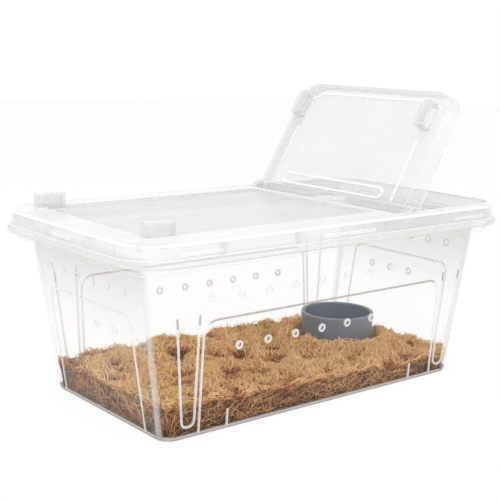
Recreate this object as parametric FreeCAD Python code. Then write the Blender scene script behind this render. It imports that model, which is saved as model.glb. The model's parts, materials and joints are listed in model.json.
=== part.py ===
import math
import os

import FreeCAD
import Part

from FreeCAD import Vector

os.makedirs("parts", exist_ok=True)

# Driving sizes of the feeding box, in millimetres and degrees
# Tub: leaning walls, rolled rim with corner ears
base_length = 253.6
base_width = 133.2
mouth_length = 289.4
mouth_width = 150.2
tub_height = 113.9
base_corner_radius = 11.0
mouth_corner_radius = 16.0
base_edge_radius = 3.5
tub_wall = 1.4
tub_floor = 1.8
rim_reach_end = 8.6
rim_reach_side = 7.2
rim_corner_radius = 24.0
rim_wall = 1.6
rim_drop = 6.5
ear_drop = 7.7
ear_proud = 0.6
ear_reach = 8.0

# Raised lines on the tub walls
line_proud = 0.6
line_width = 1.3
wall_bite = 0.5
long_panel_inset = 24.3
long_panel_drop = 40.4
long_panel_radius = 10.0
end_panel_inset = 18.6
end_panel_drop = 36.9
end_panel_radius = 7.0
foot_rib_inset = 45.8
foot_rib_height = 14.0
column_drop = 31.9
column_bottom = 8.5
column_top_inset = 2.1
column_bottom_inset = 1.8
column_inner_inset = 10.6
column_radius = 4.0

# Vent holes, each in a raised ring
vent_radius = 1.3
vent_ring_radius = 2.7
vent_ring_proud = 0.8
vent_seam_turn = 30
long_upper_count = 10
long_upper_pitch = 21.7
long_upper_drop = 26.7
long_lower_count = 6
long_lower_pitch = 22.6
long_lower_middle = -18.7
long_lower_drop = 59.3
end_upper_count = 6
end_upper_pitch = 17.6
end_upper_drop = 22.9
end_lower_count = 3
end_lower_pitch = 19.5
end_lower_middle = -8.0
end_lower_drop = 50.2

# Lid: skirted frame, sunk window, hatch well
lid_gap = 2.1
lid_edge_radius = 3.0
lid_wall = 1.6
lid_rise = 11.3
lid_overlap = 2.9
lip_proud = 3.0
lip_height = 4.5
lip_edge_radius = 1.2
seat_gap = 0.3
window_border = 22.0
window_radius = 10.0
window_sink = 1.5
bar_left = 50.0
ridge_left = 42.5
ridge_width = 4.0
lid_rib_reach = 6.4
long_rib_far = 96.0
long_rib_near = 38.5
end_rib_place = 24.0
grip_height = 1.3
grip_proud = 0.7
grip_drop = 7.0
middle_grip_half = 22.0
side_grip_length = 29.0
end_grip_half = 12.0
post_length = 20.0
post_width = 10.5
post_height = 9.0
post_radius = 3.0
post_edge_radius = 1.0
post_inset = 27.0

# Hatch: hinged tray over the feeding end
hinge_x = 61.0
hinge_drop = 0.5
barrel_radius = 3.6
bar_clearance = 1.0
pin_radius = 1.8
pin_clearance = 0.05
pin_through = 0.3
cheek_half = 4.2
cheek_depth = 4.8
hatch_end_border = 3.5
hatch_side_border = 8.0
hatch_flare = 2.5
hatch_corner_radius = 17.7
hatch_wall = 1.5
hatch_edge_radius = 0.8
hatch_clearance = 0.3
ledge_reach_side = 3.8
ledge_reach_end = 4.8
rib_proud = 0.8
rib_width = 1.3
loop_near = 4.6
loop_far = 13.6
loop_inset = 26.0
side_rib_inset = 16.0
side_rib_near = 4.6
side_rib_end_inset = 40.5
bracket_end_inset = 11.0
bracket_depth = 6.5
bracket_inset = 28.0
bracket_spread = 10.0
hatch_vent_radius = 1.2
hatch_vent_inset = 15.0
hatch_vent_pitch = 23.5
hatch_vent_count = 3
hatch_open_angle = 59.0

# Feeding dish
dish_end_inset = 52.8
dish_y = 0.0
dish_sink = 3.1
dish_height = 26.0
dish_rim_radius = 27.0
dish_base_radius = 25.4
dish_wall = 2.8
dish_floor = 3.2
dish_edge_radius = 1.0

# Bedding of loose coconut fibre, lower at the dish end, with rows of dips between its humps
bedding_top = 23.0
bedding_fall = 8.5
bedding_gap = 0.3
dip_depth = 8.0
dip_mouth = 13.0
dip_floor = 5.0
dip_pitch_x = 26.0
dip_pitch_y = 23.5
dip_ridge = 1.5

# Overrun for all cuts
overrun = 2.0

# Heights and places worked out from the sizes above
rim_length = mouth_length + 2 * rim_reach_end
rim_width = mouth_width + 2 * rim_reach_side
long_panel_half = base_length / 2 - long_panel_inset
long_panel_top = tub_height - long_panel_drop
end_panel_half = base_width / 2 - end_panel_inset
end_panel_top = tub_height - end_panel_drop
foot_rib_place = base_length / 2 - foot_rib_inset
column_top = tub_height - column_drop
long_upper_height = tub_height - long_upper_drop
long_lower_height = tub_height - long_lower_drop
end_upper_height = tub_height - end_upper_drop
end_lower_height = tub_height - end_lower_drop
lid_length = rim_length + 2 * (lid_gap + lid_wall)
lid_width = rim_width + 2 * (lid_gap + lid_wall)
lid_corner_radius = rim_corner_radius + lid_gap + lid_wall
lid_half_x = lid_length / 2
lid_half_y = lid_width / 2
window_left = window_border - lid_half_x
window_half_width = lid_half_y - window_border
long_rib_places = (-long_rib_far, -long_rib_near, long_rib_near)
post_place_x = lid_half_x - post_inset
post_place_y = window_half_width
hatch_length = lid_half_x - hatch_end_border - hinge_x
hatch_width = lid_width - 2 * hatch_side_border
loop_half = hatch_width / 2 - loop_inset
side_rib_half = hatch_width / 2 - side_rib_inset
side_rib_far = hatch_length - side_rib_end_inset
bracket_far = hatch_length - bracket_end_inset
bracket_near = bracket_far - bracket_depth
bracket_half = hatch_width / 2 - bracket_inset
bracket_end_half = bracket_half + bracket_spread
hatch_vent_far = hatch_length - hatch_vent_inset
dish_x = base_length / 2 - dish_end_inset
bedding_slope = bedding_fall / base_length
dish_bottom = bedding_top - bedding_slope * (dish_x + base_length / 2) - dish_sink
end_lean = (mouth_length - base_length) / 2 / tub_height
side_lean = (mouth_width - base_width) / 2 / tub_height
corner_lean = (mouth_corner_radius - base_corner_radius) / tub_height
flat_lean = end_lean - corner_lean
flat_half_base = base_length / 2 - base_corner_radius
column_outer_top = flat_half_base + flat_lean * column_top - column_top_inset
column_outer_bottom = flat_half_base + flat_lean * column_bottom - column_bottom_inset
column_inner = flat_half_base + flat_lean * column_bottom - column_inner_inset
ledge_bottom = tub_height + seat_gap
ledge_top = ledge_bottom + lid_wall
lid_top = ledge_bottom + lid_rise
lid_bottom = tub_height - lid_overlap
plate_bottom = lid_top - lid_wall
window_top = lid_top - window_sink
window_bottom = window_top - lid_wall
hinge_z = lid_top - hinge_drop
bar_right = hinge_x - barrel_radius - bar_clearance
hatch_top = hinge_z + barrel_radius
hatch_bottom = ledge_top + seat_gap
hatch_far = hinge_x + hatch_length
well_half = hatch_width / 2 + hatch_clearance
well_far = hatch_far + hatch_clearance
well_radius = hatch_corner_radius + hatch_clearance
post_top = lid_top + post_height
tolerance = seat_gap / 1000


def rounded_outline(low_x, high_x, low_y, high_y, radii, z):
    """Closed wire of a rectangle whose corners have the given radii, from low x, low y on, anticlockwise."""
    corners = ((low_x, low_y), (high_x, low_y), (high_x, high_y), (low_x, high_y))
    ways = ((1, 0), (0, 1), (-1, 0), (0, -1))
    starts = []
    ends = []
    middles = []
    for (x, y), radius, way_in, way_out in zip(corners, radii, ways[3:] + ways[:3], ways):
        before = Vector(x - way_in[0] * radius, y - way_in[1] * radius, z)
        after = Vector(x + way_out[0] * radius, y + way_out[1] * radius, z)
        centre = before + after - Vector(x, y, z)
        reach = Vector(x, y, z) - centre
        starts.append(before)
        ends.append(after)
        middles.append(centre + reach / math.sqrt(2))
    edges = []
    for index in range(len(corners)):
        following = (index + 1) % len(corners)
        if radii[index] > 0:
            edges.append(Part.Arc(starts[index], middles[index], ends[index]).toShape())
        edges.append(Part.makeLine(ends[index], starts[following]))
    return Part.Wire(edges)


def centred_outline(half_x, half_y, radius, z):
    return rounded_outline(-half_x, half_x, -half_y, half_y, (radius,) * 4, z)


def raised(outline, height):
    return Part.Face(outline).extrude(Vector(0, 0, height))


def ring(half_x, half_y, radius, thickness, low_z, high_z):
    """Upright wall that follows a rounded rectangle, its outer face on the given half sizes."""
    outer = raised(centred_outline(half_x, half_y, radius, low_z), high_z - low_z)
    hollow = centred_outline(half_x - thickness, half_y - thickness, radius - thickness, low_z - overrun)
    return outer.cut(raised(hollow, high_z - low_z + 2 * overrun))


def block(low_x, high_x, low_y, high_y, low_z, high_z):
    return Part.makeBox(high_x - low_x, high_y - low_y, high_z - low_z, Vector(low_x, low_y, low_z))


def edges_at_height(shape, z):
    found = []
    for edge in shape.Edges:
        box = edge.BoundBox
        if abs(box.ZMin - z) < tolerance and abs(box.ZMax - z) < tolerance:
            found.append(edge)
    return found


def flat_walled(lofted):
    """The same solid with its flat faces rebuilt as true planes, which cuts and joins keep to exactly."""
    faces = []
    for face in lofted.Faces:
        plane = face.findPlane()
        faces.append(Part.Face(plane, face.OuterWire) if plane else face)
    return Part.Solid(Part.Shell(faces))


def half_turn(shape):
    turned = shape.copy()
    turned.rotate(Vector(0, 0, 0), Vector(0, 0, 1), 180)
    return turned


def save(shape, name):
    shape.exportStep("parts/" + name + ".step")


# Tub body between its leaning outer and inner faces
def tub_outline(z, inset):
    half_x = base_length / 2 + end_lean * z - inset
    half_y = base_width / 2 + side_lean * z - inset
    radius = base_corner_radius + corner_lean * z - inset
    return centred_outline(half_x, half_y, radius, z)


tub_body = flat_walled(Part.makeLoft([tub_outline(0, 0), tub_outline(tub_height, 0)], True, True))
tub_body = tub_body.makeFillet(base_edge_radius, edges_at_height(tub_body, 0))
cavity_top = tub_height + overrun
cavity_outlines = [tub_outline(tub_floor, tub_wall), tub_outline(cavity_top, tub_wall)]
tub_cavity = flat_walled(Part.makeLoft(cavity_outlines, True, True))
tub_cavity = tub_cavity.makeFillet(base_edge_radius - tub_wall, edges_at_height(tub_cavity, tub_floor))

# Rim rolled outwards and down, with a thicker ear at each corner
rim_low = tub_height - rim_drop
ear_low = tub_height - ear_drop
rim_block = raised(centred_outline(rim_length / 2, rim_width / 2, rim_corner_radius, rim_low), rim_drop)
rim_groove_half_x = rim_length / 2 - rim_wall
rim_groove_half_y = rim_width / 2 - rim_wall
rim_groove_radius = rim_corner_radius - rim_wall
rim_groove = raised(
    centred_outline(rim_groove_half_x, rim_groove_half_y, rim_groove_radius, rim_low - overrun),
    rim_drop - rim_wall + overrun,
)
rim = rim_block.cut(rim_groove)
ear_ring = ring(
    rim_length / 2 + ear_proud,
    rim_width / 2 + ear_proud,
    rim_corner_radius + ear_proud,
    rim_wall,
    ear_low,
    lid_bottom - seat_gap,
)
ear_clear_x = rim_length / 2 - rim_corner_radius - ear_reach
ear_clear_y = rim_width / 2 - rim_corner_radius - ear_reach
clear_far_x = rim_length / 2 + overrun
clear_far_y = rim_width / 2 + overrun
ears = ear_ring.cut(
    [
        block(-ear_clear_x, ear_clear_x, -clear_far_y, clear_far_y, ear_low - overrun, tub_height),
        block(-clear_far_x, clear_far_x, -ear_clear_y, ear_clear_y, ear_low - overrun, tub_height),
    ]
)
tub = tub_body.fuse([rim, ears]).cut(tub_cavity)


# Raised lines and vents are drawn flat and then laid on the leaning wall
def lay_on_long_wall(shape):
    laid = shape.copy()
    laid.rotate(Vector(0, 0, 0), Vector(1, 0, 0), 90 + math.degrees(math.atan(side_lean)))
    laid.translate(Vector(0, -base_width / 2, 0))
    return laid


def lay_on_end_wall(shape):
    laid = shape.copy()
    laid.rotate(Vector(0, 0, 0), Vector(1, 0, 0), 90 + math.degrees(math.atan(end_lean)))
    laid.translate(Vector(0, -base_length / 2, 0))
    laid.rotate(Vector(0, 0, 0), Vector(0, 0, 1), -90)
    return laid


def flat_line(points, radius, width, height, bite):
    """Raised line through flat points, rounded at its inner points, from the wall outwards."""
    half = width / 2
    pieces = []
    trimmed = [Vector(*points[0], -bite)]
    for before, point, after in zip(points[:-2], points[1:-1], points[2:]):
        corner = Vector(*point, -bite)
        to_before = (Vector(*before, -bite) - corner).normalize()
        to_after = (Vector(*after, -bite) - corner).normalize()
        half_angle = to_before.getAngle(to_after) / 2
        back = radius / math.tan(half_angle)
        bisector = (to_before + to_after).normalize()
        centre = corner + bisector * (radius / math.sin(half_angle))
        first = corner + to_before * back
        last = corner + to_after * back
        arms = []
        for spread in (radius - half, radius + half):
            inner = centre + (first - centre).normalize() * spread
            middle = centre - bisector * spread
            outer = centre + (last - centre).normalize() * spread
            arms.append((inner, middle, outer))
        near, far = arms
        bend = Part.Wire(
            [
                Part.Arc(*near).toShape(),
                Part.makeLine(near[2], far[2]),
                Part.Arc(*reversed(far)).toShape(),
                Part.makeLine(far[0], near[0]),
            ]
        )
        pieces.append(Part.Face(bend).extrude(Vector(0, 0, height + bite)))
        trimmed.append(first)
        trimmed.append(last)
    trimmed.append(Vector(*points[-1], -bite))
    for start, end in zip(trimmed[0::2], trimmed[1::2]):
        along = (end - start).normalize()
        across = Vector(-along.y, along.x, 0) * half
        first_side = [start - across, end - across]
        last_side = [end + across, start + across]
        stroke = Part.makePolygon(first_side + last_side + first_side[:1])
        pieces.append(Part.Face(stroke).extrude(Vector(0, 0, height + bite)))
    return pieces


def row_places(count, pitch, middle):
    return [middle + (index - (count - 1) / 2) * pitch for index in range(count)]


def flat_vents(places, height, lean):
    """Rings and holes of one row of vents at a height up the wall."""
    slope_height = height * math.sqrt(1 + lean * lean)
    rings = []
    holes = []
    for place in places:
        ring_foot = Vector(place, slope_height, -wall_bite)
        hole_foot = Vector(place, slope_height, -tub_wall - overrun)
        rings.append(Part.makeCylinder(vent_ring_radius, vent_ring_proud + wall_bite, ring_foot))
        hole = Part.makeCylinder(vent_radius, tub_wall + vent_ring_proud + 2 * overrun, hole_foot)
        hole.rotate(hole_foot, Vector(0, 0, 1), vent_seam_turn)
        holes.append(hole)
    return rings, holes


line_start = base_edge_radius
long_lines = flat_line(
    [
        (-long_panel_half, line_start),
        (-long_panel_half, long_panel_top),
        (long_panel_half, long_panel_top),
        (long_panel_half, line_start),
    ],
    long_panel_radius,
    line_width,
    line_proud,
    wall_bite,
)
for side in (-1, 1):
    foot_rib = [(side * foot_rib_place, line_start), (side * foot_rib_place, foot_rib_height)]
    long_lines += flat_line(foot_rib, 0, line_width, line_proud, wall_bite)
    column = [
        (side * column_outer_top, column_top),
        (side * column_outer_bottom, column_bottom),
        (side * column_inner, column_bottom),
        (side * column_inner, column_top),
    ]
    long_lines += flat_line(column, column_radius, line_width, line_proud, wall_bite)
end_lines = flat_line(
    [
        (-end_panel_half, line_start),
        (-end_panel_half, end_panel_top),
        (end_panel_half, end_panel_top),
        (end_panel_half, line_start),
    ],
    end_panel_radius,
    line_width,
    line_proud,
    wall_bite,
)

long_upper = row_places(long_upper_count, long_upper_pitch, 0)
long_lower = row_places(long_lower_count, long_lower_pitch, long_lower_middle)
end_upper = row_places(end_upper_count, end_upper_pitch, 0)
end_lower = row_places(end_lower_count, end_lower_pitch, -end_lower_middle)
wall_rows = (
    (long_upper, long_upper_height, side_lean, lay_on_long_wall),
    (long_lower, long_lower_height, side_lean, lay_on_long_wall),
    (end_upper, end_upper_height, end_lean, lay_on_end_wall),
    (end_lower, end_lower_height, end_lean, lay_on_end_wall),
)
wall_forms = [lay_on_long_wall(piece) for piece in long_lines]
wall_forms += [lay_on_end_wall(piece) for piece in end_lines]
wall_holes = []
for places, height, lean, lay in wall_rows:
    rings, holes = flat_vents(places, height, lean)
    wall_forms += [lay(piece) for piece in rings]
    wall_holes += [lay(piece) for piece in holes]
wall_forms += [half_turn(piece) for piece in wall_forms]
wall_holes += [half_turn(piece) for piece in wall_holes]
tub = tub.fuse(wall_forms).cut(wall_holes).removeSplitter()
save(tub, "tub")

# Lid shell: rounded top edge, skirt and proud lip
lid_block = raised(
    centred_outline(lid_half_x, lid_half_y, lid_corner_radius, lid_bottom), lid_top - lid_bottom
)
lid_block = lid_block.makeFillet(lid_edge_radius, edges_at_height(lid_block, lid_top))
hollow_half_x = lid_half_x - lid_wall
hollow_half_y = lid_half_y - lid_wall
hollow_radius = lid_corner_radius - lid_wall
lid_hollow = raised(
    centred_outline(hollow_half_x, hollow_half_y, hollow_radius, lid_bottom - overrun),
    plate_bottom - lid_bottom + overrun,
)
lid_hollow = lid_hollow.makeChamfer(lid_edge_radius - lid_wall, edges_at_height(lid_hollow, plate_bottom))
lip = ring(
    lid_half_x + lip_proud,
    lid_half_y + lip_proud,
    lid_corner_radius + lip_proud,
    lip_proud + lid_wall,
    lid_bottom,
    lid_bottom + lip_height,
)
lip_outer_edges = []
for edge in edges_at_height(lip, lid_bottom) + edges_at_height(lip, lid_bottom + lip_height):
    middle = edge.valueAt((edge.FirstParameter + edge.LastParameter) / 2)
    flat_reach = max(abs(middle.x) - lid_half_x, abs(middle.y) - lid_half_y)
    corner_x = abs(middle.x) - lid_half_x + lid_corner_radius
    corner_y = abs(middle.y) - lid_half_y + lid_corner_radius
    corner_reach = math.hypot(max(corner_x, 0), max(corner_y, 0)) - lid_corner_radius
    if max(flat_reach, corner_reach) > lip_proud / 2:
        lip_outer_edges.append(edge)
lip = lip.makeFillet(lip_edge_radius, lip_outer_edges)

# Sunk window panel with its step, the hinge bar and the ridge before it
window_radii = (window_radius, 0, 0, window_radius)
step_radii = (window_radius + lid_wall, 0, 0, window_radius + lid_wall)
window_outline = rounded_outline(
    window_left, bar_right, -window_half_width, window_half_width, window_radii, window_top
)
window_well = raised(window_outline, window_sink + overrun)
step_half = window_half_width + lid_wall
step_outline = rounded_outline(
    window_left - lid_wall, bar_right, -step_half, step_half, step_radii, window_bottom
)
window_tray = raised(step_outline, lid_top - window_bottom).cut(window_well)
bar_strip = block(bar_left, bar_right, -well_half, well_half, window_bottom, window_top)
bar_wall = block(bar_right - lid_wall, bar_right, -well_half, well_half, ledge_bottom, window_top)
bar_notch = block(bar_left, bar_right + overrun, -well_half, well_half, window_top, lid_top + overrun)
ridge = block(
    ridge_left, ridge_left + ridge_width, -window_half_width, window_half_width, window_bottom, lid_top
)

# Hatch well: its walls are left standing in the shell, with a ledge under the hatch and hinge cheeks
well_radii = (0, well_radius, well_radius, 0)
well_wall_radii = (0, well_radius + lid_wall, well_radius + lid_wall, 0)
well_outer = well_half + lid_wall
well_space = raised(
    rounded_outline(bar_right, well_far, -well_half, well_half, well_radii, ledge_top),
    lid_top - ledge_top + overrun,
)
well_block = raised(
    rounded_outline(
        bar_right - lid_wall, lid_half_x, -well_outer, well_outer, well_wall_radii, ledge_bottom
    ),
    lid_top - ledge_bottom,
)
opening_half = well_half - ledge_reach_side
opening_far = well_far - ledge_reach_end
opening_radius = well_radius - ledge_reach_side
opening_radii = (0, opening_radius, opening_radius, 0)
well_opening = raised(
    rounded_outline(
        bar_right, opening_far, -opening_half, opening_half, opening_radii, ledge_bottom - overrun
    ),
    lid_top - ledge_bottom + 2 * overrun,
)
under_bar = block(bar_left, bar_right - lid_wall, -well_outer, well_outer, ledge_bottom, window_bottom)
cheeks = []
pin_holes = []
hole_end = well_half + lid_wall + pin_through + hatch_clearance
hole_length = hole_end - well_half + overrun
for side in (-1, 1):
    near_y, far_y = sorted((side * well_half, side * (well_half + cheek_depth)))
    outward = Vector(0, side, 0)
    cheeks.append(block(hinge_x - cheek_half, hinge_x + cheek_half, near_y, far_y, ledge_bottom, hinge_z))
    cheek_foot = Vector(hinge_x, side * well_half, hinge_z)
    cheeks.append(Part.makeCylinder(cheek_half, cheek_depth, cheek_foot, outward))
    hole_foot = Vector(hinge_x, side * (well_half - overrun), hinge_z)
    pin_holes.append(Part.makeCylinder(pin_radius + pin_clearance, hole_length, hole_foot, outward))

# Bearing ribs inside the skirt, which stand on the tub's rim
lid_ribs = []
rib_top = plate_bottom + lid_wall / 2
skirt_bite = lid_wall / 2
for place in long_rib_places:
    for side in (-1, 1):
        near_y, far_y = sorted((side * (hollow_half_y - lid_rib_reach), side * (hollow_half_y + skirt_bite)))
        lid_ribs.append(
            block(place - lid_wall / 2, place + lid_wall / 2, near_y, far_y, ledge_bottom, rib_top)
        )
for side in (-1, 1):
    place = side * end_rib_place
    lid_ribs.append(
        block(
            -hollow_half_x - skirt_bite,
            -hollow_half_x + lid_rib_reach,
            place - lid_wall / 2,
            place + lid_wall / 2,
            ledge_bottom,
            rib_top,
        )
    )

# Grip bars along the outside of the skirt
grips = []
grip_low = lid_top - grip_drop - grip_height / 2
grip_high = lid_top - grip_drop + grip_height / 2
side_grip_far = lid_half_x - lid_corner_radius
side_grip_near = side_grip_far - side_grip_length
grip_spans = (
    (-side_grip_far, -side_grip_near),
    (-middle_grip_half, middle_grip_half),
    (side_grip_near, side_grip_far),
)
for low_x, high_x in grip_spans:
    for side in (-1, 1):
        near_y, far_y = sorted((side * (lid_half_y - skirt_bite), side * (lid_half_y + grip_proud)))
        grips.append(block(low_x, high_x, near_y, far_y, grip_low, grip_high))
for side in (-1, 1):
    near_x, far_x = sorted((side * (lid_half_x - skirt_bite), side * (lid_half_x + grip_proud)))
    grips.append(block(near_x, far_x, -end_grip_half, end_grip_half, grip_low, grip_high))


# Stacking posts, hollow from below
def post(x, y, foot_z, top_z):
    low_x = x - post_length / 2
    high_x = x + post_length / 2
    low_y = y - post_width / 2
    high_y = y + post_width / 2
    solid = raised(rounded_outline(low_x, high_x, low_y, high_y, (post_radius,) * 4, foot_z), top_z - foot_z)
    return solid.makeFillet(post_edge_radius, edges_at_height(solid, top_z))


def post_hollow(x, y, foot_z, top_z, wall):
    low_x = x - post_length / 2 + wall
    high_x = x + post_length / 2 - wall
    low_y = y - post_width / 2 + wall
    high_y = y + post_width / 2 - wall
    outline = rounded_outline(low_x, high_x, low_y, high_y, (post_radius - wall,) * 4, foot_z - overrun)
    return raised(outline, top_z - wall - foot_z + overrun)


lid_posts = [post(-post_place_x, side * post_place_y, window_bottom, post_top) for side in (-1, 1)]
post_bores = [
    post_hollow(-post_place_x, side * post_place_y, window_bottom, post_top, lid_wall) for side in (-1, 1)
]
lid = lid_block.cut(lid_hollow.cut(well_block)).fuse(lip)
lid = lid.cut([window_well, well_space, well_opening])
lid = lid.fuse(window_tray)
lid = lid.cut([bar_notch])
lid = lid.fuse([bar_strip, bar_wall, ridge] + cheeks + lid_ribs + grips + lid_posts)
lid = lid.cut([under_bar, well_opening] + post_bores + pin_holes).removeSplitter()
save(lid, "lid")


# Hatch tray with flared skirts, modelled closed and then swung open about its pins
def hatch_outline(inset, z):
    """Outline of the flared tray at a height, drawn in by a wall."""
    up_share = (z - hatch_bottom) / (hatch_top - hatch_bottom)
    flare = hatch_flare * up_share
    half_y = hatch_width / 2 - flare - inset
    radius = hatch_corner_radius - flare - inset
    return rounded_outline(hinge_x, hatch_far - flare - inset, -half_y, half_y, (0, radius, radius, 0), z)


hatch_skirt = Part.makeLoft([hatch_outline(0, hatch_bottom), hatch_outline(0, hatch_top)], True, True)
hatch_rim_edges = []
for edge in edges_at_height(hatch_skirt, hatch_top):
    if edge.BoundBox.XMax > hinge_x + hatch_flare:
        hatch_rim_edges.append(edge)
hatch_skirt = hatch_skirt.makeFillet(hatch_edge_radius, hatch_rim_edges)
hatch_hollow = Part.makeLoft(
    [hatch_outline(hatch_wall, hatch_bottom - overrun), hatch_outline(hatch_wall, hatch_top - hatch_wall)],
    True,
    True,
)
barrel_half = hatch_width / 2 - hatch_flare
barrel = Part.makeCylinder(
    barrel_radius, 2 * barrel_half, Vector(hinge_x, -barrel_half, hinge_z), Vector(0, 1, 0)
)
pin_half = well_half + lid_wall + pin_through
pin = Part.makeCylinder(pin_radius, 2 * pin_half, Vector(hinge_x, -pin_half, hinge_z), Vector(0, 1, 0))


def lay_on_hatch(shape):
    """Flat pieces drawn with x away from the hinge and y across, laid on the closed hatch."""
    laid = shape.copy()
    laid.translate(Vector(hinge_x, 0, hatch_top))
    return laid


hatch_lines = []
for side in (-1, 1):
    side_rib = [(side_rib_near, side * side_rib_half), (side_rib_far, side * side_rib_half)]
    hatch_lines += flat_line(side_rib, 0, rib_width, rib_proud, wall_bite)
hatch_lines += flat_line(
    [
        (bracket_near, -bracket_end_half),
        (bracket_far, -bracket_half),
        (bracket_far, bracket_half),
        (bracket_near, bracket_end_half),
    ],
    bracket_depth,
    rib_width,
    rib_proud,
    wall_bite,
)
loop_radius = (loop_far - loop_near) / 2
loop_radii = (loop_radius - tolerance,) * 4
loop_outer = rounded_outline(loop_near, loop_far, -loop_half, loop_half, loop_radii, -wall_bite)
loop_inner = rounded_outline(
    loop_near + rib_width,
    loop_far - rib_width,
    rib_width - loop_half,
    loop_half - rib_width,
    (loop_radius - rib_width - tolerance,) * 4,
    -wall_bite,
)
loop = raised(loop_outer, rib_proud + wall_bite).cut(raised(loop_inner, rib_proud + wall_bite))
hatch_lines.append(loop)
hatch_forms = [lay_on_hatch(piece) for piece in hatch_lines]
hatch_posts = []
hatch_post_bores = []
plate_low = hatch_top - hatch_wall
hatch_post_top = hatch_top + post_height
for side in (-1, 1):
    hatch_posts.append(post(post_place_x, side * post_place_y, plate_low, hatch_post_top))
    hatch_post_bores.append(
        post_hollow(post_place_x, side * post_place_y, plate_low, hatch_post_top, hatch_wall)
    )
hatch_vents = []
for place in row_places(hatch_vent_count, hatch_vent_pitch, 0):
    vent_foot = Vector(hinge_x + hatch_vent_far, place, hatch_top - hatch_wall - overrun)
    hatch_vents.append(Part.makeCylinder(hatch_vent_radius, hatch_wall + 2 * overrun, vent_foot))
hatch = hatch_skirt.cut(hatch_hollow).fuse([barrel, pin] + hatch_forms + hatch_posts)
hatch = hatch.cut(hatch_post_bores + hatch_vents).removeSplitter()
hatch.rotate(Vector(hinge_x, 0, hinge_z), Vector(0, -1, 0), hatch_open_angle)
save(hatch, "hatch")

# Feeding dish, a turned bowl with a rounded rim
dish_top = dish_bottom + dish_height
dish_outer = Part.makeCone(dish_base_radius, dish_rim_radius, dish_height)
dish_lean = (dish_rim_radius - dish_base_radius) / dish_height
dish_inner_base = dish_base_radius + dish_lean * dish_floor - dish_wall
dish_inner_top = dish_rim_radius + dish_lean * overrun - dish_wall
dish_hollow_height = dish_height - dish_floor + overrun
dish_hollow = Part.makeCone(
    dish_inner_base, dish_inner_top, dish_hollow_height, Vector(0, 0, dish_floor)
)
dish = dish_outer.cut(dish_hollow)
dish = dish.makeFillet(dish_edge_radius, edges_at_height(dish, dish_height) + edges_at_height(dish, 0))
dish.translate(Vector(dish_x, dish_y, dish_bottom))
save(dish, "feeding_dish")

# Bedding fills the floor from wall to wall in humps and dips, pressed in under the dish
def bedding_height(x):
    return bedding_top - bedding_slope * (x + base_length / 2)


def six_sided(x, y, radius, z):
    points = []
    for corner in range(6 + 1):
        angle = math.pi * (2 * corner + 1) / 6
        points.append(Vector(x + radius * math.cos(angle), y + radius * math.sin(angle), z))
    return Part.makePolygon(points)


def dip(x, y):
    """Space of one dip, which narrows to its floor."""
    top = bedding_height(x)
    overrun_mouth = dip_mouth + (dip_mouth - dip_floor) * overrun / dip_depth
    low = six_sided(x, y, dip_floor, top - dip_depth)
    return Part.makeLoft([low, six_sided(x, y, overrun_mouth, top + overrun)], True, True)


bedding_low = tub_floor + bedding_gap
bedding_inset = tub_wall + bedding_gap
bedding_outlines = [
    tub_outline(bedding_low, bedding_inset + base_edge_radius / 2),
    tub_outline(bedding_top + overrun, bedding_inset),
]
bedding = flat_walled(Part.makeLoft(bedding_outlines, True, True))
room_half = mouth_length / 2
room_top = bedding_top + bedding_fall
room_corners = [
    Vector(-room_half, -mouth_width / 2, bedding_height(-room_half)),
    Vector(room_half, -mouth_width / 2, bedding_height(room_half)),
    Vector(room_half, -mouth_width / 2, room_top),
    Vector(-room_half, -mouth_width / 2, room_top),
]
room_side = Part.Face(Part.makePolygon(room_corners + room_corners[:1]))
room_above = room_side.extrude(Vector(0, mouth_width, 0))
dish_seat = Part.makeCylinder(
    dish_rim_radius + bedding_gap,
    bedding_top - dish_bottom + bedding_gap + overrun,
    Vector(dish_x, dish_y, dish_bottom - bedding_gap),
)
dip_clear = dish_rim_radius + bedding_gap + dip_mouth + dip_ridge
dip_rows = 2 * math.ceil((base_width / 2 - dip_mouth) / dip_pitch_y)
dip_columns = 2 * math.ceil((base_length / 2 - dip_mouth / 2) / dip_pitch_x)
dips = []
for row in range(dip_rows):
    dip_y = (row - (dip_rows - 1) / 2) * dip_pitch_y
    row_shift = (row % 2 - 1 / 2) * dip_pitch_x / 2
    for column in range(dip_columns):
        dip_x = (column - (dip_columns - 1) / 2) * dip_pitch_x + row_shift
        if math.hypot(dip_x - dish_x, dip_y - dish_y) > dip_clear:
            dips.append(dip(dip_x, dip_y))
bedding = bedding.cut([room_above, dish_seat] + dips)
save(bedding, "coconut_fibre_bedding")

for name, shape in (
    ("tub", tub),
    ("lid", lid),
    ("hatch", hatch),
    ("feeding_dish", dish),
    ("coconut_fibre_bedding", bedding),
):
    box = shape.BoundBox
    print(name, len(shape.Solids), shape.isValid(), round(shape.Volume / 1000, 2), "cm3", box)
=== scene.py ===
import json
import math

import bpy
import numpy as np
from mathutils import Matrix, Vector


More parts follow.
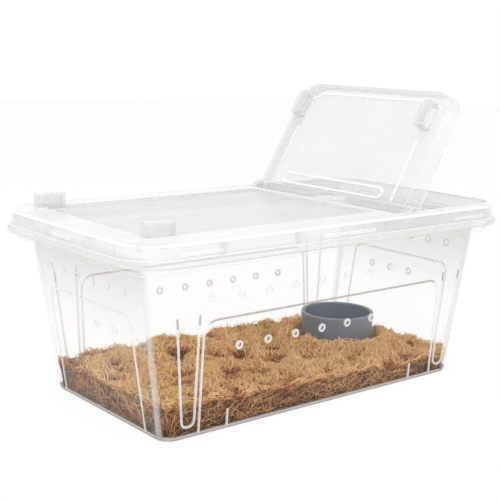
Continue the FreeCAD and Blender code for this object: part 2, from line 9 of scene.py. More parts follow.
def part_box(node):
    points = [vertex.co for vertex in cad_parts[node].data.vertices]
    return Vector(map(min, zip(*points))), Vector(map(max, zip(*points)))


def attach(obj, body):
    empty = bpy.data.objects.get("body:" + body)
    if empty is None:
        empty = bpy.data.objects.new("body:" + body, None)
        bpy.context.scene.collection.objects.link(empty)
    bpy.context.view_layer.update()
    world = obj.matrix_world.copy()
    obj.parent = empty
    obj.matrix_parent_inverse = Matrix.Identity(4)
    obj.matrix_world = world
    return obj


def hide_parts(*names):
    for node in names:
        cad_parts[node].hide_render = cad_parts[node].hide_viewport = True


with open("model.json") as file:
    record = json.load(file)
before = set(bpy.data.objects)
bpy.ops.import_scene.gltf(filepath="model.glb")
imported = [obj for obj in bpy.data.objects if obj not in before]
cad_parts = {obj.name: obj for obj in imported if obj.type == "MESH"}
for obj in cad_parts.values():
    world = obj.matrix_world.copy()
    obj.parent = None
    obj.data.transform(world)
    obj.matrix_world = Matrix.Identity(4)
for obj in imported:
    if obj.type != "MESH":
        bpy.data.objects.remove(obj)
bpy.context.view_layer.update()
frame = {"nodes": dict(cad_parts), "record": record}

# Tub: one injection moulding in clear polystyrene, thin leaning walls with raised panel lines,
# foot ribs and ringed vents, and a rolled rim. The plastic is nearly colourless and its raised lines
# and rings are frosted by the mould. White highlights are painted on its edges, a painted reflection
# runs down its rounded corners, and painted dark lines and shade lie on its base rim, panel tops and
# ends.
tub_foot_half = (0.1268, 0.0666)
tub_lean = (0.15716, 0.07463)
tub_rim_low = 0.1055
tub_foot_edge = 0.0036
tub_foot_reach = 0.0045
tub_line_low = 0.0002
tub_line_high = 0.0005
tub_panel_low = 0.0710
tub_panel_high = 0.0785
# Where a painted reflection runs down the rounded corners, and its strength
tub_corner_band = (-0.0032, -0.0018, -0.0008, -0.0001)
tub_corner_turn = (-0.0112, -0.0096, -0.0055, -0.0040)
tub_corner_painted_reflection = 0.40
# Painted shade high on the tub's ends: its heights and strength
tub_end_painted_shade = (0.050, 0.104)
tub_end_depth = 0.50
styrene_ior = 1.58
flow_stretch = (9, 26, 40)
flow_streaks = (0.8, 1.2)
flow_ripple = 0.0008
polish_grain = 900
polish_spread = (0.7, 1.3)
noise_range = (0.3, 0.7)
grazing_power = 3.0
# Painted white highlights and grey lines along every edge of the clear plastic
painted_edge_highlight = (0.98, 0.98, 0.975, 1)
painted_edge_grey = (0.55, 0.55, 0.545, 1)
edge_flat = 0.998
edge_turned = 0.84
grey_line = (0.02, 0.20)
white_line = (0.20, 0.55)


def maths(tree, operation, first, second, clamp=False):
    """One sum in a material. Each side is a number or the output of another node."""
    node = tree.nodes.new("ShaderNodeMath")
    node.operation = operation
    node.use_clamp = clamp
    for socket, value in zip(node.inputs, (first, second)):
        if isinstance(value, (int, float)):
            socket.default_value = value
        else:
            tree.links.new(value, socket)
    return node.outputs["Value"]


def spread_between(tree, value, low, high, start=0.0, end=1.0):
    """The value's way from low to high, as a number from start to end."""
    node = tree.nodes.new("ShaderNodeMapRange")
    node.inputs["From Min"].default_value = low
    node.inputs["From Max"].default_value = high
    node.inputs["To Min"].default_value = start
    node.inputs["To Max"].default_value = end
    tree.links.new(value, node.inputs["Value"])
    return node.outputs["Result"]


def noise(tree, place, scale, detail):
    """Soft random grain, finer at a larger scale."""
    node = tree.nodes.new("ShaderNodeTexNoise")
    node.inputs["Scale"].default_value = scale
    node.inputs["Detail"].default_value = detail
    tree.links.new(place, node.inputs["Vector"])
    return node.outputs["Fac"]


def tint_by(tree, amount, first, second):
    """Colour that goes from the first to the second. Each is a colour or the output of another node."""
    node = tree.nodes.new("ShaderNodeMix")
    node.data_type = "RGBA"
    tree.links.new(amount, node.inputs[0])
    for socket, colour in ((node.inputs[6], first), (node.inputs[7], second)):
        if isinstance(colour, tuple):
            socket.default_value = colour
        else:
            tree.links.new(colour, socket)
    return node.outputs[2]


def height_over(tree, place, planes):
    """How far a point stands out from flat faces, each given by its outward normal and its offset."""
    furthest = None
    for normal, offset in planes:
        along = tree.nodes.new("ShaderNodeVectorMath")
        along.operation = "DOT_PRODUCT"
        along.inputs[1].default_value = normal
        tree.links.new(place, along.inputs[0])
        proud = maths(tree, "SUBTRACT", along.outputs["Value"], offset)
        furthest = maths(tree, "MAXIMUM", furthest, proud) if furthest else proud
    return furthest


def axis_of(tree, place, axis):
    """A place's distance along one axis."""
    node = tree.nodes.new("ShaderNodeSeparateXYZ")
    tree.links.new(place, node.inputs["Vector"])
    return node.outputs[axis]


def edge_share(tree, width):
    """Where the surface turns within a hair's breadth: none on a flat face, all of it on an edge."""
    rounded = tree.nodes.new("ShaderNodeBevel")
    rounded.samples = 6
    rounded.inputs["Radius"].default_value = width
    surface = tree.nodes.new("ShaderNodeNewGeometry")
    turned = tree.nodes.new("ShaderNodeVectorMath")
    turned.operation = "DOT_PRODUCT"
    tree.links.new(rounded.outputs["Normal"], turned.inputs[0])
    tree.links.new(surface.outputs["Normal"], turned.inputs[1])
    return spread_between(tree, turned.outputs["Value"], edge_flat, edge_turned)


def mix_of(tree, share, first, second):
    """Surface that goes from the first to the second."""
    mix = tree.nodes.new("ShaderNodeMixShader")
    tree.links.new(share, mix.inputs["Fac"])
    tree.links.new(first, mix.inputs[1])
    tree.links.new(second, mix.inputs[2])
    return mix.outputs["Shader"]


def clear_moulding(name, look, frosted, painted_shading=None, painted_highlight=None):
    """Clear moulded plastic with faint flow marks, frosted in places, and painted highlights and shade.
    """
    material = bpy.data.materials.new(name)
    material.use_nodes = True
    tree = material.node_tree
    tree.nodes.clear()
    output = tree.nodes.new("ShaderNodeOutputMaterial")
    see_through = tree.nodes.new("ShaderNodeBsdfTransparent")
    see_through.inputs["Color"].default_value = look["tint"]
    milky = tree.nodes.new("ShaderNodeBsdfPrincipled")
    milky.inputs["IOR"].default_value = styrene_ior
    place = tree.nodes.new("ShaderNodeTexCoord").outputs["Object"]
    # Flow marks: long soft streaks left by the melt as it filled the mould
    stretch = tree.nodes.new("ShaderNodeMapping")
    stretch.inputs["Scale"].default_value = flow_stretch
    tree.links.new(place, stretch.inputs["Vector"])
    flow = noise(tree, stretch.outputs["Vector"], 1.0, 3.0)
    polish = noise(tree, place, polish_grain, 2.0)
    smoothest, roughest = (look["roughness"] * share for share in polish_spread)
    gloss = spread_between(tree, polish, *noise_range, smoothest, roughest)
    tree.links.new(gloss, milky.inputs["Roughness"])
    ripple = tree.nodes.new("ShaderNodeBump")
    ripple.inputs["Strength"].default_value = 0.12
    ripple.inputs["Distance"].default_value = flow_ripple
    tree.links.new(flow, ripple.inputs["Height"])
    tree.links.new(ripple.outputs["Normal"], milky.inputs["Normal"])
    # Haze with a painted reflection: little on a face seen square on, more at a grazing look
    facing = tree.nodes.new("ShaderNodeLayerWeight")
    facing.inputs["Blend"].default_value = 0.5
    grazing = maths(tree, "POWER", facing.outputs["Facing"], grazing_power)
    haze = spread_between(tree, grazing, 0.0, 1.0, look["face_haze"], look["grazing_haze_and_reflection"])
    streaks = spread_between(tree, flow, *noise_range, *flow_streaks)
    cover = maths(tree, "MULTIPLY", haze, streaks)
    frost_share = frosted(tree, place)
    colour = tint_by(tree, frost_share, look["milk"], look["frost_milk"])
    frost = maths(tree, "MULTIPLY", frost_share, look["frost_haze"])
    cover = maths(tree, "ADD", cover, frost, True)
    # Edges: a painted thin grey line where the light is bent away, and a painted white highlight where
    # it comes out
    edge = edge_share(tree, look["edge_width"])
    bent_away = spread_between(tree, edge, *grey_line)
    shining = spread_between(tree, edge, *white_line)
    if painted_highlight:
        shining = maths(tree, "MAXIMUM", shining, painted_highlight(tree, place))
    colour = tint_by(tree, bent_away, colour, painted_edge_grey)
    colour = tint_by(tree, shining, colour, painted_edge_highlight)
    grey_cover = maths(tree, "MULTIPLY", bent_away, look["edge_grey_cover"])
    white_cover = maths(tree, "MULTIPLY", shining, look["edge_highlight_cover"])
    cover = maths(tree, "MAXIMUM", cover, maths(tree, "MAXIMUM", grey_cover, white_cover))
    if painted_shading:
        # Painted dark lines and shade, where the look goes along the plastic and not through it
        dark = painted_shading(tree, place)
        colour = tint_by(tree, dark, colour, look["painted_shade_colour"])
        lighter = maths(tree, "MULTIPLY", cover, maths(tree, "SUBTRACT", 1.0, dark))
        cover = maths(tree, "ADD", lighter, maths(tree, "MULTIPLY", dark, look["painted_shade_cover"]), True)
    tree.links.new(colour, milky.inputs["Base Color"])
    surface = mix_of(tree, cover, see_through.outputs["BSDF"], milky.outputs["BSDF"])
    tree.links.new(surface, output.inputs["Surface"])
    return material


def finish_node(name, material):
    """Gives one of the part's solids its material."""
    node = frame["nodes"][name]
    for place in range(len(node.material_slots)):
        node.material_slots[place].material = material


def tub_walls():
    """The four leaning outer faces of the tub, as outward normals and offsets."""
    walls = []
    for axis, (half, lean) in enumerate(zip(tub_foot_half, tub_lean)):
        slope = math.hypot(1, lean)
        for side in (-1, 1):
            normal = [0, 0, -lean / slope]
            normal[axis] = side / slope
            walls.append((normal, half / slope))
    return walls


def raised_on_tub(tree, place):
    """Panel lines, ribs and vent rings, proud of the walls below the rim, and painted corner
    reflections.
    """
    walls = tub_walls()
    proud = spread_between(tree, height_over(tree, place, walls), tub_line_low, tub_line_high)
    # A painted reflection: a milky band down each rounded corner
    corner = tub_corner_painted_reflection
    for faces, band in ((walls[:2], tub_corner_band), (walls[2:], tub_corner_turn)):
        far, full, still_full, close = band
        inward = height_over(tree, place, faces)
        corner = maths(tree, "MULTIPLY", spread_between(tree, inward, far, full), corner)
        corner = maths(tree, "MULTIPLY", spread_between(tree, inward, close, still_full), corner)
    under_rim = spread_between(tree, axis_of(tree, place, "Z"), tub_rim_low, tub_rim_low - tub_line_high)
    return maths(tree, "MULTIPLY", maths(tree, "MAXIMUM", proud, corner), under_rim)


def painted_shade_on_tub(tree, place):
    """Painted dark lines on the base rim and the panels' tops, and painted shade high on the ends."""
    walls = tub_walls()
    out = height_over(tree, place, walls)
    height = axis_of(tree, place, "Z")
    near_wall = spread_between(tree, out, -tub_foot_reach - tub_line_high, -tub_foot_reach)
    low = spread_between(tree, height, tub_foot_edge, tub_foot_edge - tub_line_high)
    foot = maths(tree, "MULTIPLY", near_wall, low)
    proud = spread_between(tree, out, tub_line_low, tub_line_high)
    over_low = spread_between(tree, height, tub_panel_low, tub_panel_low + 2 * tub_line_high)
    under_high = spread_between(tree, height, tub_panel_high, tub_panel_high - 2 * tub_line_high)
    level_line = maths(tree, "MULTIPLY", proud, maths(tree, "MULTIPLY", over_low, under_high))
    side_out = height_over(tree, place, walls[2:])
    on_side = spread_between(tree, side_out, -tub_foot_reach, -tub_line_high)
    level_line = maths(tree, "MULTIPLY", level_line, on_side)
    end_out = height_over(tree, place, walls[:2])
    on_end = spread_between(tree, end_out, -tub_foot_reach, -tub_line_high)
    # Painted shade high on the ends, kept off the raised lines
    high_up = spread_between(tree, height, *tub_end_painted_shade, 0.0, tub_end_depth)
    painted_end_shade = maths(tree, "MULTIPLY", on_end, high_up)
    painted_end_shade = maths(tree, "MULTIPLY", painted_end_shade, maths(tree, "SUBTRACT", 1.0, proud))
    return maths(tree, "MAXIMUM", maths(tree, "MAXIMUM", foot, level_line), painted_end_shade)


tub_look = {
    "tint": (0.994, 0.994, 0.991, 1),
    "milk": (0.90, 0.90, 0.89, 1),
    "face_haze": 0.007,
    "grazing_haze_and_reflection": 0.26,
    "frost_milk": (0.83, 0.83, 0.82, 1),
    "frost_haze": 0.66,
    "edge_highlight_cover": 0.85,
    "edge_grey_cover": 0.16,
    "edge_width": 0.0006,
    "painted_shade_colour": (0.34, 0.29, 0.255, 1),
    "painted_shade_cover": 0.72,
    "roughness": 0.16,
}
tub_plastic = clear_moulding("clear_tub_plastic", tub_look, raised_on_tub, painted_shade_on_tub)
finish_node("tub", tub_plastic)

# Bedding: a loose mat of coir, the fibre of coconut husks, shaken out over the floor of the tub.
# It lies in humps and dips, lower towards the dish, and its fibres lie flat against the clear walls.
# Painted light and shade colour it golden on the humps and dark brown in the dips and low down.
bed_seed = np.random.default_rng(11)
bed_floor = float(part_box("coconut_fibre_bedding")[0][2])
dish_low, dish_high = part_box("feeding_dish")
dish_middle = np.array([(dish_low[0] + dish_high[0]) / 2, (dish_low[1] + dish_high[1]) / 2])
bed_half = np.array(tub_foot_half)
bed_lean = np.array(tub_lean)
bed_inset = 0.0021
bed_corner = 0.0095
bed_level = 0.0232
bed_fall = 0.0335
bed_lowest = 0.0075
dip_depth = 0.0098
dip_reach = 0.0082
dip_pitch = np.array([0.0260, 0.0235])
dip_rows = 6
dip_columns = 10
dip_jitter = (0.0050, 0.0045)
dip_keep_off = 1.8
dip_least = (0.55, 0.75, 0.8)
dip_most = (1.15, 1.15, 1.7)
dip_sharpness = 1.25
whole_turn = 2 * math.pi
swell_count = 9
swell_closeness = (90, 420)
swell_height = 0.00045
stray_count = (2, 4)
stray_closeness = (170, 520)
stray_reach = 0.0015
dish_room = 0.0290
dish_slope = 0.005
dish_bed_gap = 0.0010
dish_bed = float(dish_low[2]) - dish_bed_gap
collar_height = 0.0068
collar_radius = 0.0350
collar_reach = 0.0115
low_corner = np.array([-0.128, 0.062])
low_corner_depth = 0.0050
low_corner_reach = 0.0260


def wall_half(z):
    """Half sizes of the room inside the tub's leaning walls at a height."""
    return bed_half + bed_lean * np.asarray(z)[..., None] - bed_inset


dip_places = []
for row in range(dip_rows):
    for column in range(dip_columns):
        stagger = (row % 2 - 0.5) / 2
        x = (column - (dip_columns - 1) / 2 + stagger) * dip_pitch[0] + bed_seed.normal(0, dip_jitter[0])
        y = (row - (dip_rows - 1) / 2) * dip_pitch[1] + bed_seed.normal(0, dip_jitter[1])
        if math.hypot(x - dish_middle[0], y - dish_middle[1]) > dish_room + dip_keep_off * dip_reach:
            size, reach, stretch = bed_seed.uniform(dip_least, dip_most)
            dip_places.append((x, y, size, reach * dip_reach, stretch, bed_seed.uniform(0, math.pi)))
swell_ways = bed_seed.uniform(0, whole_turn, swell_count)
swell_steps = bed_seed.uniform(*swell_closeness, swell_count)
swell_starts = bed_seed.uniform(0, whole_turn, swell_count)
stray_ways = bed_seed.uniform(0, whole_turn, stray_count)
stray_steps = bed_seed.uniform(*stray_closeness, stray_count)
stray_starts = bed_seed.uniform(0, whole_turn, stray_count)


def ripple_over(x, y, way, step, start):
    """A wave across the floor, given by its direction, its closeness and its start."""
    return np.sin(step * (x * math.cos(way) + y * math.sin(way)) + start)


def bed_height(x, y):
    """Height of the bedding: humps between dips, falling to the dish end, pressed in under the dish."""
    x = np.asarray(x, float)
    y = np.asarray(y, float)
    height = bed_level - bed_fall * (x + bed_half[0])
    for way, step, start in zip(swell_ways, swell_steps, swell_starts):
        height = height + swell_height * ripple_over(x, y, way, step, start)
    sunk = np.zeros(x.shape)
    strayed = [x, y]
    for axis in (0, 1):
        for way, step, start in zip(stray_ways[axis], stray_steps[axis], stray_starts[axis]):
            strayed[axis] = strayed[axis] + stray_reach * ripple_over(x, y, way, step, start)
    for place_x, place_y, size, reach, stretch, turn in dip_places:
        off_x = strayed[0] - place_x
        off_y = strayed[1] - place_y
        along = (off_x * math.cos(turn) + off_y * math.sin(turn)) / (stretch * reach)
        across = (off_y * math.cos(turn) - off_x * math.sin(turn)) / reach
        away = along**2 + across**2
        sunk = np.maximum(sunk, dip_depth * size * np.exp(-(away**dip_sharpness)))
    from_corner = np.hypot(x - low_corner[0], y - low_corner[1])
    height = height - low_corner_depth * np.exp(-((from_corner / low_corner_reach) ** 2))
    from_dish = np.hypot(x - dish_middle[0], y - dish_middle[1])
    height = height + collar_height * np.exp(-(((from_dish - collar_radius) / collar_reach) ** 2))
    height = np.maximum(height - sunk, bed_lowest)
    rise = np.clip((from_dish - dish_room) / dish_slope, 0, 1)
    return dish_bed + (height - dish_bed) * rise * rise * (3 - 2 * rise)


def inside_wall(x, y, z, back=0.0):
    """Moves points that stand outside the tub's room, drawn back by a gap, onto its walls."""
    half = wall_half(z) - np.asarray(back)[..., None]
    core = half - bed_corner
    out_x = np.maximum(np.abs(x) - core[..., 0], 0)
    out_y = np.maximum(np.abs(y) - core[..., 1], 0)
    reach = np.hypot(out_x, out_y)
    keep = np.where(reach > bed_corner, bed_corner / np.maximum(reach, 1e-9), 1.0)
    new_x = np.sign(x) * (np.minimum(np.abs(x), core[..., 0]) + out_x * keep)
    new_y = np.sign(y) * (np.minimum(np.abs(y), core[..., 1]) + out_y * keep)
    return new_x, new_y


# The body of the mat, built in place of the imported bedding: rings of points from the middle out
# to the wall, then down to the floor
mat_back = 0.0022
mat_sunk = 0.0016
mat_far = 0.2
mat_around = 480
mat_rings = 90
mat_side_steps = (0.2, 0.4, 0.6, 0.8, 1.0)
mat_side_rough = 0.0006
mat_foot_spread = 0.0012
mat_foot_gap = 0.0002
angles = np.linspace(0, whole_turn, mat_around, endpoint=False)
ray_x = np.cos(angles) * mat_far
ray_y = np.sin(angles) * mat_far
edge_x, edge_y = inside_wall(ray_x, ray_y, np.full(mat_around, bed_level), mat_back)
mat_points = []
for ring in range(1, mat_rings + 1):
    x = edge_x * ring / mat_rings
    y = edge_y * ring / mat_rings
    z = bed_height(x, y) - mat_sunk
    x, y = inside_wall(x, y, z, mat_back)
    mat_points.append(np.stack([x, y, z], 1))
top_edge = mat_points[-1]
foot_z = bed_floor + mat_foot_gap
for share in mat_side_steps:
    z = top_edge[:, 2] * (1 - share) + foot_z * share
    drawn_back = mat_back + mat_side_rough * bed_seed.random(mat_around) - mat_foot_spread * share
    x, y = inside_wall(ray_x, ray_y, z, drawn_back)
    mat_points.append(np.stack([x, y, z], 1))
middle_top = np.array([[0, 0, float(bed_height(0.0, 0.0)) - mat_sunk]])
middle_floor = np.array([[0, 0, foot_z]])
mat_verts = np.concatenate(mat_points + [middle_top, middle_floor])
mat_faces = []
for ring in range(len(mat_points) - 1):
    for turn in range(mat_around):
        following = (turn + 1) % mat_around
        inner = ring * mat_around
        outer = inner + mat_around
        mat_faces.append((inner + turn, outer + turn, outer + following, inner + following))
last_ring = (len(mat_points) - 1) * mat_around
top_index = len(mat_verts) - 2
floor_index = len(mat_verts) - 1
for turn in range(mat_around):
    following = (turn + 1) % mat_around
    mat_faces.append((top_index, turn, following))
    mat_faces.append((floor_index, last_ring + following, last_ring + turn))
mat_mesh = bpy.data.meshes.new("coir_mat")
mat_mesh.from_pydata(mat_verts.tolist(), [], mat_faces)
mat_mesh.shade_smooth()
coir_mat = bpy.data.objects.new("coir_mat", mat_mesh)
bpy.context.scene.collection.objects.link(coir_mat)

# The fibre's finish: a dry husk with a faint sheen, in tufts and patches of darker and paler brown
coir_sheen = (1.0, 0.68, 0.38, 1)
coir_tuft_grain = 420
coir_tuft_share = 0.25
coir_patch_grain = 42
coir_patch_noise = (0.35, 0.65)
coir_patch_shift = (-0.10, 0.08)
coir_roughness = (0.60, 0.95)
coir_fuzz_depth = 0.0006
coir_dark_at = 0.18
coir_middle_at = 0.50
coir_light_at = 0.80


def coir(name, dark, middle, light, low, high, painted_light_share):
    """Coir: painted shade low down and in the dips, painted light on top, each fibre of its own shade.
    """
    material = bpy.data.materials.new(name)
    material.use_nodes = True
    tree = material.node_tree
    body = tree.nodes["Principled BSDF"]
    body.inputs["Sheen Weight"].default_value = 0.35
    body.inputs["Sheen Roughness"].default_value = 0.4
    body.inputs["Sheen Tint"].default_value = coir_sheen
    place = tree.nodes.new("ShaderNodeTexCoord").outputs["Object"]
    slope = maths(tree, "MULTIPLY", axis_of(tree, place, "X"), bed_fall)
    level = maths(tree, "ADD", axis_of(tree, place, "Z"), slope)
    height = spread_between(tree, level, low, high)
    tuft = noise(tree, place, coir_tuft_grain, 5)
    shade = tree.nodes.new("ShaderNodeAttribute")
    shade.attribute_name = "fibre_shade"
    tufts = maths(tree, "MULTIPLY", tuft, coir_tuft_share)
    fibres = maths(tree, "MULTIPLY", shade.outputs["Fac"], 1 - coir_tuft_share)
    grain = maths(tree, "ADD", tufts, fibres)
    # Painted light and shade: golden high on the humps, dark low down and in the dips
    lit = maths(tree, "MULTIPLY", height, painted_light_share)
    blend = maths(tree, "ADD", lit, maths(tree, "MULTIPLY", grain, 1 - painted_light_share))
    patches = noise(tree, place, coir_patch_grain, 3)
    shift = spread_between(tree, patches, *coir_patch_noise, *coir_patch_shift)
    blend = maths(tree, "ADD", blend, shift)
    ramp = tree.nodes.new("ShaderNodeValToRGB")
    ramp.color_ramp.elements[0].position = coir_dark_at
    ramp.color_ramp.elements[0].color = dark
    ramp.color_ramp.elements[1].position = coir_light_at
    ramp.color_ramp.elements[1].color = light
    between = ramp.color_ramp.elements.new(coir_middle_at)
    between.color = middle
    tree.links.new(blend, ramp.inputs["Fac"])
    tree.links.new(ramp.outputs["Color"], body.inputs["Base Color"])
    dullness = spread_between(tree, tuft, 0.0, 1.0, *coir_roughness)
    tree.links.new(dullness, body.inputs["Roughness"])
    fuzz = tree.nodes.new("ShaderNodeBump")
    fuzz.inputs["Strength"].default_value = 0.6
    fuzz.inputs["Distance"].default_value = coir_fuzz_depth
    tree.links.new(tuft, fuzz.inputs["Height"])
    tree.links.new(fuzz.outputs["Normal"], body.inputs["Normal"])
    return material


# The mat shows only in the gaps between fibres and is coloured dark there, a painted shade
painted_shade_coir = coir(
    "painted_shade_coir",
    dark=(0.035, 0.015, 0.006, 1),
    middle=(0.13, 0.058, 0.022, 1),
    light=(0.36, 0.18, 0.065, 1),
    low=0.006,
    high=0.019,
    painted_light_share=0.6,
)
coir_mat.data.materials.append(painted_shade_coir)
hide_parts("coconut_fibre_bedding")
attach(coir_mat, "tub")

# A single fibre: three-sided, and thinner at its tips
fibre_sides = 3
fibre_first_side = 0.5
fibre_upright = np.array([0.13, 0.21, 0.97])
fibre_tip = 0.45
fibre_tip_angle = 0.15


def tangle(name, lines, shade_mean, shade_spread, thinnest, thickest, material):
    """One mesh of thin three-sided fibres along rows of points, thinner at both ends."""
    count, steps, _ = lines.shape
    shades = np.clip(bed_seed.normal(shade_mean, shade_spread, count), 0, 1)
    thickness = bed_seed.uniform(thinnest, thickest, count)
    ahead = np.gradient(lines, axis=1)
    ahead /= np.linalg.norm(ahead, axis=2, keepdims=True) + 1e-12
    side = np.cross(ahead, fibre_upright)
    side /= np.linalg.norm(side, axis=2, keepdims=True) + 1e-12
    lift = np.cross(side, ahead)
    swing = np.linspace(fibre_tip_angle, math.pi - fibre_tip_angle, steps)
    taper = fibre_tip + (1 - fibre_tip) * np.sin(swing)
    radius = thickness[:, None, None] * taper[None, :, None]
    corners = []
    for turn in range(fibre_sides):
        angle = whole_turn * turn / fibre_sides + fibre_first_side
        corners.append(lines + radius * (side * math.cos(angle) + lift * math.sin(angle)))
    points = np.stack(corners, 2).reshape(-1, 3)
    first = (np.arange(count)[:, None] * steps + np.arange(steps - 1)[None, :]) * fibre_sides
    faces = []
    ahead_first = first + fibre_sides
    for turn in range(fibre_sides):
        following = (turn + 1) % fibre_sides
        face = [first + turn, first + following, ahead_first + following, ahead_first + turn]
        faces.append(np.stack(face, 2))
    faces = np.stack(faces, 2).reshape(-1, 4)
    mesh = bpy.data.meshes.new(name)
    mesh.vertices.add(len(points))
    mesh.vertices.foreach_set("co", points.ravel())
    mesh.loops.add(faces.size)
    mesh.loops.foreach_set("vertex_index", faces.ravel())
    mesh.polygons.add(len(faces))
    mesh.polygons.foreach_set("loop_start", np.arange(0, faces.size, 4))
    mesh.update(calc_edges=True)
    mesh.shade_smooth()
    shade = mesh.attributes.new("fibre_shade", "FLOAT", "POINT")
    shade.data.foreach_set("value", np.repeat(shades, steps * fibre_sides))
    mesh.materials.append(material)
    piece = bpy.data.objects.new(name, mesh)
    bpy.context.scene.collection.objects.link(piece)
    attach(piece, "tub")


def clear_of_dish(x, y):
    """Moves points off the dish's place, so that the dish lifts out freely."""
    off = np.stack([x - dish_middle[0], y - dish_middle[1]], -1)
    away = np.linalg.norm(off, axis=-1)
    need = np.where(away < dish_room, dish_room / np.maximum(away, 1e-6), 1.0)
    return dish_middle[0] + off[..., 0] * need, dish_middle[1] + off[..., 1] * need


strewn_half = (0.131, 0.069)
tilt_limits = (-1.2, 1.4)
lie_share = 0.88
steepest_share = 0.3
sag_spread = 0.06
strewn_floor_gap = 0.001


def strewn(count, points, shortest, longest, bend, tilt, deepest, highest):
    """Fibres strewn over the humps: each lies along the surface, tilted out of it and a little bent."""
    x = bed_seed.uniform(-strewn_half[0], strewn_half[0], count)
    y = bed_seed.uniform(-strewn_half[1], strewn_half[1], count)
    along = np.linspace(-0.5, 0.5, points)
    length = bed_seed.uniform(shortest, longest, count)
    heading = bed_seed.uniform(0, whole_turn, count)
    way = heading[:, None] + bed_seed.normal(0, bend, count)[:, None] * along[None, :]
    rise = np.clip(bed_seed.normal(*tilt, count), *tilt_limits)
    flat = (length * np.cos(rise))[:, None] / (points - 1)
    walk_x = (np.cos(way) * flat).cumsum(1)
    walk_y = (np.sin(way) * flat).cumsum(1)
    line_x = x[:, None] + walk_x - walk_x.mean(1, keepdims=True)
    line_y = y[:, None] + walk_y - walk_y.mean(1, keepdims=True)
    line_x, line_y = clear_of_dish(line_x, line_y)
    lie = lie_share * bed_height(line_x, line_y) + (1 - lie_share) * bed_height(x, y)[:, None]
    lie_middle = lie.mean(1, keepdims=True)
    steepest = steepest_share * length[:, None]
    lie = lie_middle + steepest * np.tanh((lie - lie_middle) / steepest)
    depth = bed_seed.uniform(deepest, highest, count)
    sag = bed_seed.normal(0, sag_spread, count) * length
    line_z = lie + depth[:, None] + (length * np.sin(rise))[:, None] * along[None, :]
    line_z += sag[:, None] * np.cos(math.pi * along)[None, :]
    line_z = np.maximum(line_z, bed_floor + strewn_floor_gap)
    # A fibre that would poke through a wall is drawn back whole
    room_x, room_y = inside_wall(line_x, line_y, line_z)
    furthest = np.hypot(room_x - line_x, room_y - line_y).argmax(1)[:, None]
    line_x = line_x + np.take_along_axis(room_x - line_x, furthest, 1)
    line_y = line_y + np.take_along_axis(room_y - line_y, furthest, 1)
    line_x, line_y = inside_wall(line_x, line_y, line_z)
    return np.stack([line_x, line_y, line_z], 2)


# Fibres on top: short curly ones in every direction, stray ends that stand up, and a few long strands.
# The deeper layers are dark and the upper ones golden, a painted shade and light.
top_coir = coir(
    "coir_fibre",
    dark=(0.050, 0.018, 0.007, 1),
    middle=(0.76, 0.295, 0.100, 1),
    light=(1.0, 0.70, 0.34, 1),
    low=0.0144,
    high=0.0194,
    painted_light_share=0.48,
)
# Each layer: count, shortest, longest, deepest, highest, mean shade and its spread
fuzz_layers = (
    (7500, 0.006, 0.013, -0.0024, -0.0008, 0.06, 0.20),
    (7500, 0.006, 0.013, -0.0010, 0.0005, 0.50, 0.34),
    (6500, 0.006, 0.014, -0.0002, 0.0018, 0.88, 0.28),
)
fuzz_points = 5
fuzz_bend = 2.2
fuzz_tilt = (0.0, 0.34)
fuzz_thinnest = 0.00024
fuzz_thickest = 0.00040
for layer, (count, shortest, longest, deepest, highest, shade, mixed) in enumerate(fuzz_layers):
    lines = strewn(count, fuzz_points, shortest, longest, fuzz_bend, fuzz_tilt, deepest, highest)
    tangle(f"coir_fuzz_{layer + 1}", lines, shade, mixed, fuzz_thinnest, fuzz_thickest, top_coir)
lines = strewn(
    count=6500,
    points=3,
    shortest=0.0035,
    longest=0.0095,
    bend=0.8,
    tilt=(0.80, 0.32),
    deepest=0.0,
    highest=0.0014,
)
tangle(
    "coir_stray_ends",
    lines,
    shade_mean=0.60,
    shade_spread=0.28,
    thinnest=0.00020,
    thickest=0.00034,
    material=top_coir,
)
lines = strewn(
    count=2200,
    points=7,
    shortest=0.010,
    longest=0.024,
    bend=2.6,
    tilt=(0.0, 0.14),
    deepest=0.0006,
    highest=0.0020,
)
tangle(
    "coir_long_strands",
    lines,
    shade_mean=0.92,
    shade_spread=0.12,
    thinnest=0.00022,
    thickest=0.00034,
    material=top_coir,
)
wall_foot_gap = 0.0006
wall_foot = bed_floor + wall_foot_gap
wall_top_drop = 0.0024
wall_overreach = 1.2
wall_bow = 0.0003


